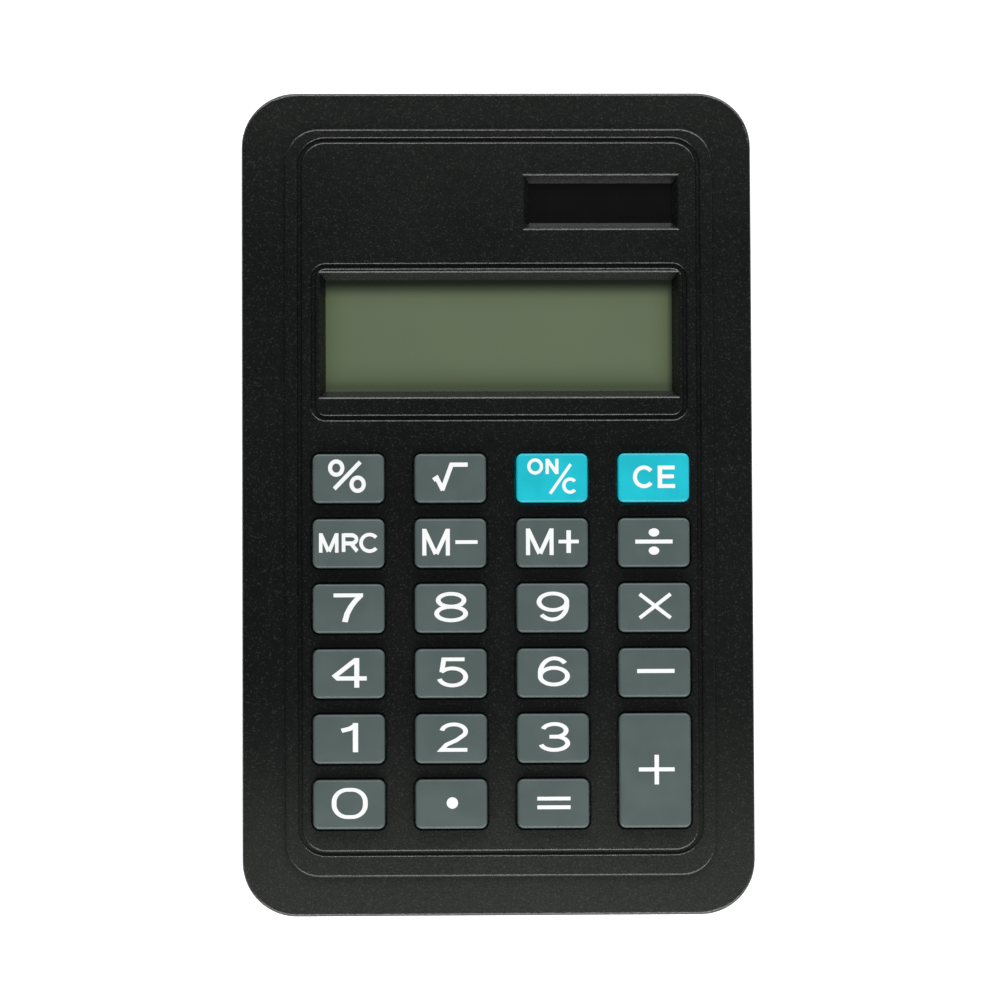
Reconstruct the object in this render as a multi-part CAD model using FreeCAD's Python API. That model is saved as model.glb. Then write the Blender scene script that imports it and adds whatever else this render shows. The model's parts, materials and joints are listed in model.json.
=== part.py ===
import FreeCAD, Part
import math
import os

# A slim hand and desk calculator: two plastic shells, 23 sprung keys, a display, a solar cell and
# a button cell behind a sliding door.  Millimetres.  +X right, +Y towards the display end, +Z up.
# The origin is at the middle of the underside, where the feet stand.

Vector = FreeCAD.Vector

# ---------------------------------------------------------------- case
CASE_WIDTH = 72.5
CASE_LENGTH = 116.8
CASE_CORNER = 7.7
SIDE_WALL = 1.6
BACK_WALL = 1.5
FRONT_WALL = 1.6            # through the raised panel
FOOT_HEIGHT = 0.5           # how far the feet stand out of the back
PARTING_HEIGHT = 4.9        # height of the joint between the two shells
RIM_HEIGHT = 8.4            # height of the flat rim round the raised panel
TOP_EDGE_ROUND = 0.45
BACK_EDGE_ROUND = 1.3
SEAM_BEVEL = 0.15
TONGUE_HEIGHT = 0.7         # locating tongue of the back shell, inside the front shell
TONGUE_THICKNESS = 0.7
TONGUE_CLEARANCE = 0.1

# ---------------------------------------------------------------- raised panel and its grooves
PANEL_STEP = 0.5
PANEL_SIDE_MARGIN = 5.8
PANEL_END_MARGIN = 5.35
PANEL_SHIFT_X = 0.3
PANEL_SHIFT_Y = 0.2
PANEL_CORNER = 4.8
PANEL_EDGE_ROUND = 0.35
GROOVE_WIDTH = 0.45
GROOVE_DEPTH = 0.45
GROOVE_LIP_ROUND = 0.36
PANEL_GROOVE_FROM_KEYS = 1.26       # beside the outer key holes
PANEL_GROOVE_FROM_DISPLAY = 1.9     # and at least this far beside the display groove
PANEL_GROOVE_TOP_INSET = 1.63
PANEL_GROOVE_BOTTOM_INSET = 3.3
PANEL_GROOVE_CORNER = 3.7
DISPLAY_GROOVE_BESIDE = 0.825        # from the window's rim to the middle of the groove
DISPLAY_GROOVE_ABOVE = 0.85
DISPLAY_GROOVE_BELOW = 2.85
DISPLAY_GROOVE_CORNER = 1.8

# ---------------------------------------------------------------- windows
WINDOW_WIDTH = 49.35        # clear opening over the display
WINDOW_HEIGHT = 15.9
WINDOW_FROM_TOP_END = 34.55
WINDOW_SLOPE_X = 0.9        # how far its sloping walls run outwards
WINDOW_SLOPE_Y = 1.0
SOLAR_WIDTH = 20.35         # clear opening over the solar cell
SOLAR_HEIGHT = 5.7
SOLAR_FROM_TOP_END = 15.65
SOLAR_SLOPE_X = 0.85
SOLAR_SLOPE_Y = 1.03
WINDOW_RIM_BEVEL = 0.12

# ---------------------------------------------------------------- keys
KEY_ROWS = 6
KEY_COLUMNS = 4
KEY_PITCH_X = 14.4
KEY_PITCH_Y = 9.2
KEY_WIDTH = 10.1
KEY_HEIGHT = 6.9
KEY_CORNER = 0.9
KEY_PROUD = 1.1             # above the raised panel
KEY_EDGE_ROUND = 0.3
KEY_GAP = 0.28              # round each key in its hole
KEY_TRAVEL = 0.9
KEY_WALL = 1.0
KEY_ROOF = 1.2
KEY_POST_RADIUS = 1.6
KEY_RIB = 0.8
KEY_FLANGE_OVERLAP = 0.45   # how far the flange reaches under the panel
KEY_STOP_GAP = 0.05
KEYPAD_SHIFT_X = 0.46
KEYPAD_FROM_BOTTOM_END = 38.83
HOLE_LIP_ROUND = 0.12

# Columns run left to right and rows top to bottom, as they lie on the keypad.
KEY_NAMES = [
    ["key_percent", "key_sqrt", "key_on_clear", "key_clear_entry"],
    ["key_memory_recall", "key_memory_minus", "key_memory_plus", "key_divide"],
    ["key_7", "key_8", "key_9", "key_multiply"],
    ["key_4", "key_5", "key_6", "key_minus"],
    ["key_1", "key_2", "key_3", "key_plus"],
    ["key_0", "key_point", "key_equals", "key_plus"],
]

# ---------------------------------------------------------------- board and key contacts
BOARD_UNDERSIDE = 3.3
BOARD_THICKNESS = 1.0
BOARD_CORNER = 1.5
BOARD_EDGE = 2.4            # board left outside its screws
BOARD_END = 1.3             # board left outside the keypad and the solar cell
PAD_RADIUS = 2.2
PAD_THICKNESS = 0.05
PAD_SPLIT = 0.3
PILL_RADIUS = 1.5
PILL_THICKNESS = 0.3
SHEET_THICKNESS = 0.5
SHEET_MARGIN = 0.8
DOME_BASE_RADIUS = 3.2
DOME_TOP_RADIUS = 2.2
DOME_WALL = 0.5
CONTACT_GAP = 0.05

# ---------------------------------------------------------------- display stack
GLASS_THICKNESS = 1.0
FILM_THICKNESS = 0.2
FILM_MARGIN = 1.1           # films beyond the window
GLASS_SIDE_MARGIN = 2.1
GLASS_TOP_MARGIN = 1.6
GLASS_LEDGE = 2.5           # front glass beyond the rear glass, over the zebra strip
DISPLAY_GAP = 0.1           # under the front wall
DISPLAY_RIB = 1.0
DISPLAY_RIB_CLEARANCE = 0.2
DISPLAY_RIB_ABOVE_BOARD = 0.6
ZEBRA_WIDTH = 2.0
ZEBRA_END_GAP = 2.0

# ---------------------------------------------------------------- solar cell
SOLAR_CELL_MARGIN = 1.5
SOLAR_CELL_THICKNESS = 1.0
SOLAR_TAPE_THICKNESS = 0.15
SOLAR_TAPE_INSET = 0.3
LEAD_DIAMETER = 0.6
LEAD_SPACING = 3.6
LEAD_INSIDE_CELL = 5.4
LEAD_RUN_ON_CELL = 3.5
LEAD_RUN_DOWN = 4.0
LEAD_RUN_ON_BOARD = 3.5

# ---------------------------------------------------------------- button cell, its bay and door
CELL_DIAMETER = 11.6
CELL_HEIGHT = 3.05
CELL_CAP_HEIGHT = 0.45
CELL_CAP_INSET = 0.9
CELL_EDGE_ROUND = 0.25
CELL_X = -15.0
CELL_FROM_TOP_END = 14.9
CELL_CLEARANCE = 0.2
CELL_REST_GAP = 0.05
BAY_WALL = 1.0
BAY_BELOW_BOARD_TOP = 0.1
BAY_BOARD_CLEARANCE = 0.3
BAY_SLOT = 3.2
STRIP_THICKNESS = 0.2
STRIP_WIDTH = 2.4
STRIP_FOOT = 3.2
STRIP_SIDE_GAP = 0.05
DOOR_POCKET = 1.0           # depth of the door's pocket in the back
DOOR_LIP = 0.5              # thickness of back under the door's tongues
DOOR_SIDE_MARGIN = 1.2
DOOR_TONGUE = 1.0
DOOR_CLEARANCE = 0.15
DOOR_FACE_GAP = 0.1
DOOR_TRAVEL = 20.0
GRIP_GROOVES = 4
GRIP_PITCH = 1.5
GRIP_WIDTH = 0.6
GRIP_DEPTH = 0.3
GRIP_FROM_END = 3.5

# ---------------------------------------------------------------- fasteners, feet and small parts
SCREW_RADIUS = 0.9
SCREW_HEAD_RADIUS = 1.65
SCREW_HEAD_HEIGHT = 0.9
SCREW_FIT = 0.03            # round a shank in the boss it is driven into
SCREW_PASSAGE = 0.15        # round a shank in the piece it clamps
SCREW_HEAD_CLEARANCE = 0.25
SCREW_BITE = 3.1
CROSS_LENGTH = 1.9
CROSS_WIDTH = 0.45
CROSS_DEPTH = 0.5
BOARD_BOSS_RADIUS = 1.8
BOARD_BOSS_GAP = 0.8
CASE_BOSS_RADIUS = 2.3
CASE_BOSS_INSET_X = 6.25
CASE_BOSS_INSET_Y = 6.9
CASE_BOSS_JOINT = 3.4
FOOT_RADIUS = 3.0
FOOT_RECESS = 0.3
FOOT_EDGE_ROUND = 0.15
FOOT_INSET_X = 6.85
FOOT_INSET_Y = 14.4
RIB_THICKNESS = 1.0
RIB_GAP = 0.1
RIB_END_GAP = 3.0
BLOB_RADIUS = 4.5
BLOB_HEIGHT = 0.9
CHIP_LENGTH = 2.0
CHIP_WIDTH = 1.25
CHIP_HEIGHT = 0.8
CHIP_COUNT = 4
CHIP_PITCH = 4.0

# ---------------------------------------------------------------- places that follow
TOP_END = CASE_LENGTH / 2
BOTTOM_END = -CASE_LENGTH / 2
FLOOR = FOOT_HEIGHT + BACK_WALL
PANEL_TOP = RIM_HEIGHT + PANEL_STEP
WALL_UNDERSIDE = PANEL_TOP - FRONT_WALL
KEY_TOP = PANEL_TOP + KEY_PROUD

BOARD_TOP = BOARD_UNDERSIDE + BOARD_THICKNESS
PILL_BOTTOM = BOARD_TOP + PAD_THICKNESS + KEY_TRAVEL
PILL_TOP = PILL_BOTTOM + PILL_THICKNESS
KEY_UNDERSIDE = PILL_TOP + KEY_TRAVEL + CONTACT_GAP
FLANGE_TOP = WALL_UNDERSIDE - KEY_STOP_GAP
DOME_TOP = KEY_UNDERSIDE - CONTACT_GAP
SHEET_TOP = BOARD_TOP + SHEET_THICKNESS

WINDOW_Y = TOP_END - WINDOW_FROM_TOP_END
SOLAR_X = PANEL_SHIFT_X + (WINDOW_WIDTH - SOLAR_WIDTH) / 2 + WINDOW_SLOPE_X - SOLAR_SLOPE_X
SOLAR_Y = TOP_END - SOLAR_FROM_TOP_END
CELL_Y = TOP_END - CELL_FROM_TOP_END
KEYPAD_Y = BOTTOM_END + KEYPAD_FROM_BOTTOM_END

FLANGE_REACH = KEY_GAP + KEY_FLANGE_OVERLAP
KEYPAD_HALF_WIDTH = (KEY_COLUMNS - 1) * KEY_PITCH_X / 2 + KEY_WIDTH / 2 + FLANGE_REACH
KEYPAD_HALF_HEIGHT = (KEY_ROWS - 1) * KEY_PITCH_Y / 2 + KEY_HEIGHT / 2 + FLANGE_REACH
KEYPAD_LEFT = KEYPAD_SHIFT_X - KEYPAD_HALF_WIDTH
KEYPAD_RIGHT = KEYPAD_SHIFT_X + KEYPAD_HALF_WIDTH
KEYPAD_BOTTOM = KEYPAD_Y - KEYPAD_HALF_HEIGHT
KEYPAD_TOP = KEYPAD_Y + KEYPAD_HALF_HEIGHT

SOLAR_CELL_TOP = WALL_UNDERSIDE - SOLAR_TAPE_THICKNESS
SOLAR_CELL_UNDERSIDE = SOLAR_CELL_TOP - SOLAR_CELL_THICKNESS
SOLAR_CELL_WIDTH = SOLAR_WIDTH + 2 * SOLAR_CELL_MARGIN
SOLAR_CELL_HEIGHT = SOLAR_HEIGHT + 2 * SOLAR_CELL_MARGIN

BOARD_SCREW_LEFT = KEYPAD_LEFT - BOARD_BOSS_GAP - BOARD_BOSS_RADIUS
BOARD_SCREW_RIGHT = KEYPAD_RIGHT + BOARD_BOSS_GAP + BOARD_BOSS_RADIUS
BOARD_LEFT = BOARD_SCREW_LEFT - BOARD_EDGE
BOARD_RIGHT = BOARD_SCREW_RIGHT + BOARD_EDGE
BOARD_BOTTOM = KEYPAD_BOTTOM - BOARD_END
BOARD_HIGH_END = SOLAR_Y + SOLAR_CELL_HEIGHT / 2 + BOARD_END
BOARD_SCREW_ROWS = [BOARD_BOTTOM + BOARD_EDGE, KEYPAD_TOP + BOARD_BOSS_RADIUS, BOARD_HIGH_END - BOARD_EDGE]

DISPLAY_FRONT = WALL_UNDERSIDE - DISPLAY_GAP
FRONT_GLASS_TOP = DISPLAY_FRONT - FILM_THICKNESS
REAR_GLASS_TOP = FRONT_GLASS_TOP - GLASS_THICKNESS
REFLECTOR_TOP = REAR_GLASS_TOP - GLASS_THICKNESS
FOAM_TOP = REFLECTOR_TOP - FILM_THICKNESS
GLASS_HIGH_END = WINDOW_Y + WINDOW_HEIGHT / 2 + GLASS_TOP_MARGIN
REAR_GLASS_LOW_END = WINDOW_Y - WINDOW_HEIGHT / 2
FRONT_GLASS_LOW_END = REAR_GLASS_LOW_END - GLASS_LEDGE
GLASS_WIDTH = WINDOW_WIDTH + 2 * GLASS_SIDE_MARGIN

CELL_RADIUS = CELL_DIAMETER / 2
CELL_BOTTOM = FOOT_HEIGHT + DOOR_POCKET + CELL_REST_GAP
CELL_TOP = CELL_BOTTOM + CELL_HEIGHT
BAY_INNER_RADIUS = CELL_RADIUS + CELL_CLEARANCE
BAY_OUTER_RADIUS = BAY_INNER_RADIUS + BAY_WALL
DOOR_OPENING = 2 * (CELL_RADIUS + DOOR_SIDE_MARGIN)
DOOR_LOW_END = CELL_Y - BAY_OUTER_RADIUS - DOOR_SIDE_MARGIN
DOOR_CEILING = FOOT_HEIGHT + DOOR_POCKET

CASE_BOSS_X = CASE_WIDTH / 2 - CASE_BOSS_INSET_X
CASE_BOSS_Y = CASE_LENGTH / 2 - CASE_BOSS_INSET_Y
CASE_BOSS_PLACES = [(x, y) for x in (-CASE_BOSS_X, CASE_BOSS_X) for y in (-CASE_BOSS_Y, CASE_BOSS_Y)]
BOARD_BOSS_PLACES = [(x, y) for x in (BOARD_SCREW_LEFT, BOARD_SCREW_RIGHT) for y in BOARD_SCREW_ROWS]
FOOT_X = CASE_WIDTH / 2 - FOOT_INSET_X
FOOT_Y = CASE_LENGTH / 2 - FOOT_INSET_Y


# ---------------------------------------------------------------- building blocks
def block(left, right, low, high, bottom, top):
    """A plain box between six planes."""
    return Part.makeBox(right - left, high - low, top - bottom, Vector(left, low, bottom))


def disc(x, y, radius, bottom, top):
    """An upright cylinder."""
    return Part.makeCylinder(radius, top - bottom, Vector(x, y, bottom))


def rounded_block(x, y, width, height, corner, bottom, top):
    """An upright block whose outline is a rectangle with round corners."""
    left, right = x - width / 2, x + width / 2
    low, high = y - height / 2, y + height / 2
    bulge = corner * (1 - math.sqrt(0.5))
    corners = [(right, low, -1, 1), (right, high, -1, -1), (left, high, 1, -1), (left, low, 1, 1)]
    edges = []
    for turn, (cx, cy, inx, iny) in enumerate(corners):
        along_x = Vector(cx + inx * corner, cy, bottom)
        along_y = Vector(cx, cy + iny * corner, bottom)
        start, end = (along_x, along_y) if turn % 2 == 0 else (along_y, along_x)
        middle = Vector(cx + inx * bulge, cy + iny * bulge, bottom)
        edges.append(Part.Arc(start, middle, end).toShape())
        next_x, next_y, next_inx, next_iny = corners[(turn + 1) % 4]
        if turn % 2 == 0:
            following = Vector(next_x, next_y + next_iny * corner, bottom)
        else:
            following = Vector(next_x + next_inx * corner, next_y, bottom)
        edges.append(Part.LineSegment(end, following).toShape())
    return Part.Face(Part.Wire(edges)).extrude(Vector(0, 0, top - bottom))


def ring_block(x, y, width, height, corner, thickness, bottom, top):
    """The wall or groove that runs round a rounded outline, centred on it."""
    half = thickness / 2
    outer = rounded_block(x, y, width + thickness, height + thickness, corner + half, bottom, top)
    inner = rounded_block(x, y, width - thickness, height - thickness, corner - half, bottom, top)
    return outer.cut(inner)


def tapered_window(x, y, width, height, slope_x, slope_y, bottom, top):
    """A rectangular opening whose four walls lean outwards as they rise."""
    def outline(half_width, half_height, level):
        signs = [(-1, -1), (1, -1), (1, 1), (-1, 1), (-1, -1)]
        return Part.makePolygon([Vector(x + sx * half_width, y + sy * half_height, level) for sx, sy in signs])

    low = outline(width / 2, height / 2, bottom)
    high = outline(width / 2 + slope_x, height / 2 + slope_y, top)
    return Part.makeLoft([low, high], True, True)


def window_cuts(x, y, width, height, slope_x, slope_y):
    """A sloping window through the front wall, with a small bevel round its rim."""
    level = PANEL_TOP - WINDOW_RIM_BEVEL
    share = WINDOW_RIM_BEVEL / FRONT_WALL
    through = tapered_window(x, y, width, height, slope_x, slope_y, WALL_UNDERSIDE, PANEL_TOP)
    bevel = tapered_window(x, y, width + 2 * slope_x * (1 - share), height + 2 * slope_y * (1 - share),
                           WINDOW_RIM_BEVEL + slope_x * share, WINDOW_RIM_BEVEL + slope_y * share,
                           level, PANEL_TOP)
    return [through, bevel]


def distance_to_outline(point, x, y, width, height, corner):
    """How far a point lies from a rounded rectangle's outline, seen from above."""
    over_x = abs(point.x - x) - width / 2 + corner
    over_y = abs(point.y - y) - height / 2 + corner
    outside = math.hypot(max(over_x, 0), max(over_y, 0))
    inside = min(max(over_x, over_y), 0)
    return abs(outside + inside - corner)


def edges_on_outline(shape, level, x, y, width, height, corner):
    """The flat edges of a shape that follow a rounded rectangle at one level."""
    tolerance = 0.01
    found = []
    for edge in shape.Edges:
        box = edge.BoundBox
        if abs(box.ZMin - level) > tolerance or abs(box.ZMax - level) > tolerance:
            continue
        middle = edge.valueAt((edge.FirstParameter + edge.LastParameter) / 2)
        if distance_to_outline(middle, x, y, width, height, corner) < tolerance:
            found.append(edge)
    return found


def round_edges(shape, radius, level, outline):
    return shape.makeFillet(radius, edges_on_outline(shape, level, *outline))


def key_places():
    """Each key's name, centre and size; the plus key fills two rows of its column."""
    places = {}
    for row, names in enumerate(KEY_NAMES):
        for column, name in enumerate(names):
            x = KEYPAD_SHIFT_X + (column - (KEY_COLUMNS - 1) / 2) * KEY_PITCH_X
            y = KEYPAD_Y + ((KEY_ROWS - 1) / 2 - row) * KEY_PITCH_Y
            places.setdefault(name, []).append((x, y))
    keys = []
    for name, cells in places.items():
        x = cells[0][0]
        y = (cells[0][1] + cells[-1][1]) / 2
        keys.append((name, x, y, KEY_WIDTH, KEY_HEIGHT + (len(cells) - 1) * KEY_PITCH_Y))
    return keys


# ---------------------------------------------------------------- shells
def panel_outlines():
    """The raised panel, the groove inside its edge and the groove round the display."""
    width = CASE_WIDTH - 2 * PANEL_SIDE_MARGIN
    length = CASE_LENGTH - 2 * PANEL_END_MARGIN
    display_width = WINDOW_WIDTH + 2 * (WINDOW_SLOPE_X + DISPLAY_GROOVE_BESIDE)
    display_high = WINDOW_Y + WINDOW_HEIGHT / 2 + WINDOW_SLOPE_Y + DISPLAY_GROOVE_ABOVE
    display_low = WINDOW_Y - WINDOW_HEIGHT / 2 - WINDOW_SLOPE_Y - DISPLAY_GROOVE_BELOW
    holes_right = KEYPAD_RIGHT - KEY_FLANGE_OVERLAP
    groove_width = 2 * max(holes_right + PANEL_GROOVE_FROM_KEYS - PANEL_SHIFT_X,
                           display_width / 2 + PANEL_GROOVE_FROM_DISPLAY)
    groove_length = length - PANEL_GROOVE_TOP_INSET - PANEL_GROOVE_BOTTOM_INSET
    groove_y = PANEL_SHIFT_Y + (PANEL_GROOVE_BOTTOM_INSET - PANEL_GROOVE_TOP_INSET) / 2
    panel = (PANEL_SHIFT_X, PANEL_SHIFT_Y, width, length, PANEL_CORNER)
    groove = (PANEL_SHIFT_X, groove_y, groove_width, groove_length, PANEL_GROOVE_CORNER)
    display = (PANEL_SHIFT_X, (display_low + display_high) / 2, display_width,
               display_high - display_low, DISPLAY_GROOVE_CORNER)
    return panel, groove, display


def grown(outline, margin):
    x, y, width, height, corner = outline
    return (x, y, width + 2 * margin, height + 2 * margin, corner + margin)


def hollow_shell(bottom, top, cavity_bottom, cavity_top):
    """The case outline between two levels, with the inside taken out between two others."""
    outer = rounded_block(0, 0, CASE_WIDTH, CASE_LENGTH, CASE_CORNER, bottom, top)
    inner = grown((0, 0, CASE_WIDTH, CASE_LENGTH, CASE_CORNER), -SIDE_WALL)
    return outer, rounded_block(*inner, cavity_bottom, cavity_top)


def display_rib():
    """The frame inside the front shell that the display glass drops into."""
    width = GLASS_WIDTH + 2 * DISPLAY_RIB_CLEARANCE
    low = FRONT_GLASS_LOW_END - DISPLAY_RIB_CLEARANCE
    high = GLASS_HIGH_END + DISPLAY_RIB_CLEARANCE
    left, right = PANEL_SHIFT_X - width / 2, PANEL_SHIFT_X + width / 2
    bottom = BOARD_TOP + DISPLAY_RIB_ABOVE_BOARD
    outer = block(left - DISPLAY_RIB, right + DISPLAY_RIB, low - DISPLAY_RIB, high + DISPLAY_RIB,
                  bottom, WALL_UNDERSIDE)
    return outer.cut(block(left, right, low, high, bottom, WALL_UNDERSIDE))


def top_cover():
    panel, groove, display = panel_outlines()
    case = (0, 0, CASE_WIDTH, CASE_LENGTH, CASE_CORNER)
    outer, cavity = hollow_shell(PARTING_HEIGHT, RIM_HEIGHT, PARTING_HEIGHT, WALL_UNDERSIDE)
    outer = round_edges(outer, TOP_EDGE_ROUND, RIM_HEIGHT, case)
    outer = outer.makeChamfer(SEAM_BEVEL, edges_on_outline(outer, PARTING_HEIGHT, *case))
    raised = rounded_block(*panel, WALL_UNDERSIDE, PANEL_TOP)
    raised = round_edges(raised, PANEL_EDGE_ROUND, PANEL_TOP, panel)

    cuts = [cavity]
    rebate = grown(case, TONGUE_THICKNESS + TONGUE_CLEARANCE - SIDE_WALL)
    cuts.append(rounded_block(*rebate, PARTING_HEIGHT, PARTING_HEIGHT + TONGUE_HEIGHT + TONGUE_CLEARANCE))
    for outline in (groove, display):
        cuts.append(ring_block(*outline, GROOVE_WIDTH, PANEL_TOP - GROOVE_DEPTH, PANEL_TOP))
    holes = []
    for name, x, y, width, height in key_places():
        hole = grown((x, y, width, height, KEY_CORNER), KEY_GAP)
        holes.append(hole)
        cuts.append(rounded_block(*hole, WALL_UNDERSIDE, PANEL_TOP))
    shell = outer.fuse(raised).cut(cuts).removeSplitter()

    lips = []
    for outline in (groove, display):
        for side in (-GROOVE_WIDTH / 2, GROOVE_WIDTH / 2):
            lips += edges_on_outline(shell, PANEL_TOP, *grown(outline, side))
    shell = shell.makeFillet(GROOVE_LIP_ROUND, lips)
    rims = []
    for hole in holes:
        rims += edges_on_outline(shell, PANEL_TOP, *hole)
    shell = shell.makeFillet(HOLE_LIP_ROUND, rims)
    windows = window_cuts(PANEL_SHIFT_X, WINDOW_Y, WINDOW_WIDTH, WINDOW_HEIGHT, WINDOW_SLOPE_X, WINDOW_SLOPE_Y)
    windows += window_cuts(SOLAR_X, SOLAR_Y, SOLAR_WIDTH, SOLAR_HEIGHT, SOLAR_SLOPE_X, SOLAR_SLOPE_Y)
    shell = shell.cut(windows)

    bosses = [display_rib()]
    bores = []
    pilot = SCREW_RADIUS + SCREW_FIT
    for x, y in BOARD_BOSS_PLACES:
        bosses.append(disc(x, y, BOARD_BOSS_RADIUS, BOARD_TOP, WALL_UNDERSIDE))
        bores.append(disc(x, y, pilot, BOARD_TOP, BOARD_UNDERSIDE + SCREW_BITE + SCREW_PASSAGE))
    for x, y in CASE_BOSS_PLACES:
        bosses.append(disc(x, y, CASE_BOSS_RADIUS, CASE_BOSS_JOINT, WALL_UNDERSIDE))
        bores.append(disc(x, y, pilot, CASE_BOSS_JOINT, CASE_BOSS_JOINT + SCREW_BITE + SCREW_PASSAGE))
    return shell.fuse(bosses).cut(bores).removeSplitter()


def door_pocket():
    """The stepped pocket in the back: an opening with a slot each side for the door's tongues."""
    half = DOOR_OPENING / 2
    lip_top = FOOT_HEIGHT + DOOR_LIP
    opening = block(CELL_X - half, CELL_X + half, DOOR_LOW_END, TOP_END, FOOT_HEIGHT, lip_top)
    slots = block(CELL_X - half - DOOR_TONGUE, CELL_X + half + DOOR_TONGUE, DOOR_LOW_END, TOP_END,
                  lip_top, DOOR_CEILING)
    return opening.fuse(slots)


def board_ribs():
    """Two low walls across the back shell, just clear of the board."""
    half = CASE_WIDTH / 2 - SIDE_WALL
    ribs = []
    for y in (KEYPAD_Y - KEY_PITCH_Y, KEYPAD_Y + KEY_PITCH_Y):
        ribs.append(block(-half, half, y - RIB_THICKNESS / 2, y + RIB_THICKNESS / 2,
                          FLOOR, BOARD_UNDERSIDE - RIB_GAP))
    return ribs


def bottom_cover():
    case = (0, 0, CASE_WIDTH, CASE_LENGTH, CASE_CORNER)
    outer, cavity = hollow_shell(FOOT_HEIGHT, PARTING_HEIGHT, FLOOR, PARTING_HEIGHT)
    outer = round_edges(outer, BACK_EDGE_ROUND, FOOT_HEIGHT, case)
    outer = outer.makeChamfer(SEAM_BEVEL, edges_on_outline(outer, PARTING_HEIGHT, *case))
    tongue = grown(case, TONGUE_THICKNESS / 2 - SIDE_WALL)
    bay = disc(CELL_X, CELL_Y, BAY_OUTER_RADIUS, FLOOR, BOARD_TOP - BAY_BELOW_BOARD_TOP)
    added = [ring_block(*tongue, TONGUE_THICKNESS, FLOOR, PARTING_HEIGHT + TONGUE_HEIGHT), bay]
    added += board_ribs()
    cuts = [door_pocket(), disc(CELL_X, CELL_Y, BAY_INNER_RADIUS, FOOT_HEIGHT, PARTING_HEIGHT)]
    cuts.append(block(CELL_X + CELL_RADIUS / 2, CELL_X + BAY_OUTER_RADIUS + BAY_WALL,
                      CELL_Y - BAY_SLOT / 2, CELL_Y + BAY_SLOT / 2, FLOOR, PARTING_HEIGHT))
    for x, y in CASE_BOSS_PLACES:
        added.append(disc(x, y, CASE_BOSS_RADIUS, FLOOR, CASE_BOSS_JOINT))
        cuts.append(disc(x, y, SCREW_HEAD_RADIUS + SCREW_HEAD_CLEARANCE, FOOT_HEIGHT, FLOOR))
        cuts.append(disc(x, y, SCREW_RADIUS + SCREW_PASSAGE, FLOOR, CASE_BOSS_JOINT))
    for x, y in foot_places():
        cuts.append(disc(x, y, FOOT_RADIUS, FOOT_HEIGHT, FOOT_HEIGHT + FOOT_RECESS))
    return outer.cut(cavity).fuse(added).cut(cuts).removeSplitter()


def battery_door():
    """A plate with a tongue along each side, ending flush with the top end of the back."""
    half = DOOR_OPENING / 2 - DOOR_CLEARANCE
    reach = half + DOOR_TONGUE
    low = DOOR_LOW_END + DOOR_CLEARANCE
    top = DOOR_CEILING - DOOR_FACE_GAP
    tongue_bottom = FOOT_HEIGHT + DOOR_LIP + DOOR_FACE_GAP
    plate = block(CELL_X - half, CELL_X + half, low, TOP_END, FOOT_HEIGHT, top)
    tongues = block(CELL_X - reach, CELL_X + reach, low, TOP_END, tongue_bottom, top)
    envelope = rounded_block(0, 0, CASE_WIDTH, CASE_LENGTH, CASE_CORNER, FOOT_HEIGHT, PARTING_HEIGHT)
    envelope = round_edges(envelope, BACK_EDGE_ROUND, FOOT_HEIGHT, (0, 0, CASE_WIDTH, CASE_LENGTH, CASE_CORNER))
    door = plate.fuse(tongues).removeSplitter().common(envelope)
    grooves = []
    for index in range(GRIP_GROOVES):
        y = TOP_END - GRIP_FROM_END - index * GRIP_PITCH
        grooves.append(block(CELL_X - half / 2, CELL_X + half / 2, y - GRIP_WIDTH, y,
                             FOOT_HEIGHT, FOOT_HEIGHT + GRIP_DEPTH))
    return door.cut(grooves)


# ---------------------------------------------------------------- keys
def key(x, y, width, height):
    """A hollow cap with a retaining flange, a middle post over its dome and two thin ribs."""
    cap = rounded_block(x, y, width, height, KEY_CORNER, KEY_UNDERSIDE, KEY_TOP)
    cap = round_edges(cap, KEY_EDGE_ROUND, KEY_TOP, (x, y, width, height, KEY_CORNER))
    flange = grown((x, y, width, height, KEY_CORNER), FLANGE_REACH)
    cap = cap.fuse(rounded_block(*flange, KEY_UNDERSIDE, FLANGE_TOP))
    inner_width, inner_height = width - 2 * KEY_WALL, height - 2 * KEY_WALL
    roof = KEY_TOP - KEY_ROOF
    pocket = block(x - inner_width / 2, x + inner_width / 2, y - inner_height / 2, y + inner_height / 2,
                   KEY_UNDERSIDE, roof)
    post = disc(x, y, KEY_POST_RADIUS, KEY_UNDERSIDE, roof)
    half_rib = KEY_RIB / 2
    across = block(x - inner_width / 2, x + inner_width / 2, y - half_rib, y + half_rib, KEY_UNDERSIDE, roof)
    along = block(x - half_rib, x + half_rib, y - inner_height / 2, y + inner_height / 2, KEY_UNDERSIDE, roof)
    return cap.cut(pocket.cut([post, across, along])).removeSplitter()


def rubber_dome_sheet():
    """One silicone sheet with a hollow dome under every key and a solid crown on each dome."""
    sheet = block(KEYPAD_LEFT + SHEET_MARGIN, KEYPAD_RIGHT - SHEET_MARGIN,
                  KEYPAD_BOTTOM + SHEET_MARGIN, KEYPAD_TOP - SHEET_MARGIN, BOARD_TOP, SHEET_TOP)
    domes = []
    hollows = []
    for name, x, y, width, height in key_places():
        foot = Vector(x, y, SHEET_TOP)
        domes.append(Part.makeCone(DOME_BASE_RADIUS, DOME_TOP_RADIUS, DOME_TOP - SHEET_TOP, foot))
        base = Vector(x, y, BOARD_TOP)
        hollows.append(Part.makeCone(DOME_BASE_RADIUS - DOME_WALL, DOME_TOP_RADIUS - DOME_WALL,
                                     PILL_TOP - BOARD_TOP, base))
    return sheet.fuse(domes).cut(hollows).removeSplitter()


def contact_pills():
    return [disc(x, y, PILL_RADIUS, PILL_BOTTOM, PILL_TOP) for name, x, y, width, height in key_places()]


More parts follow.
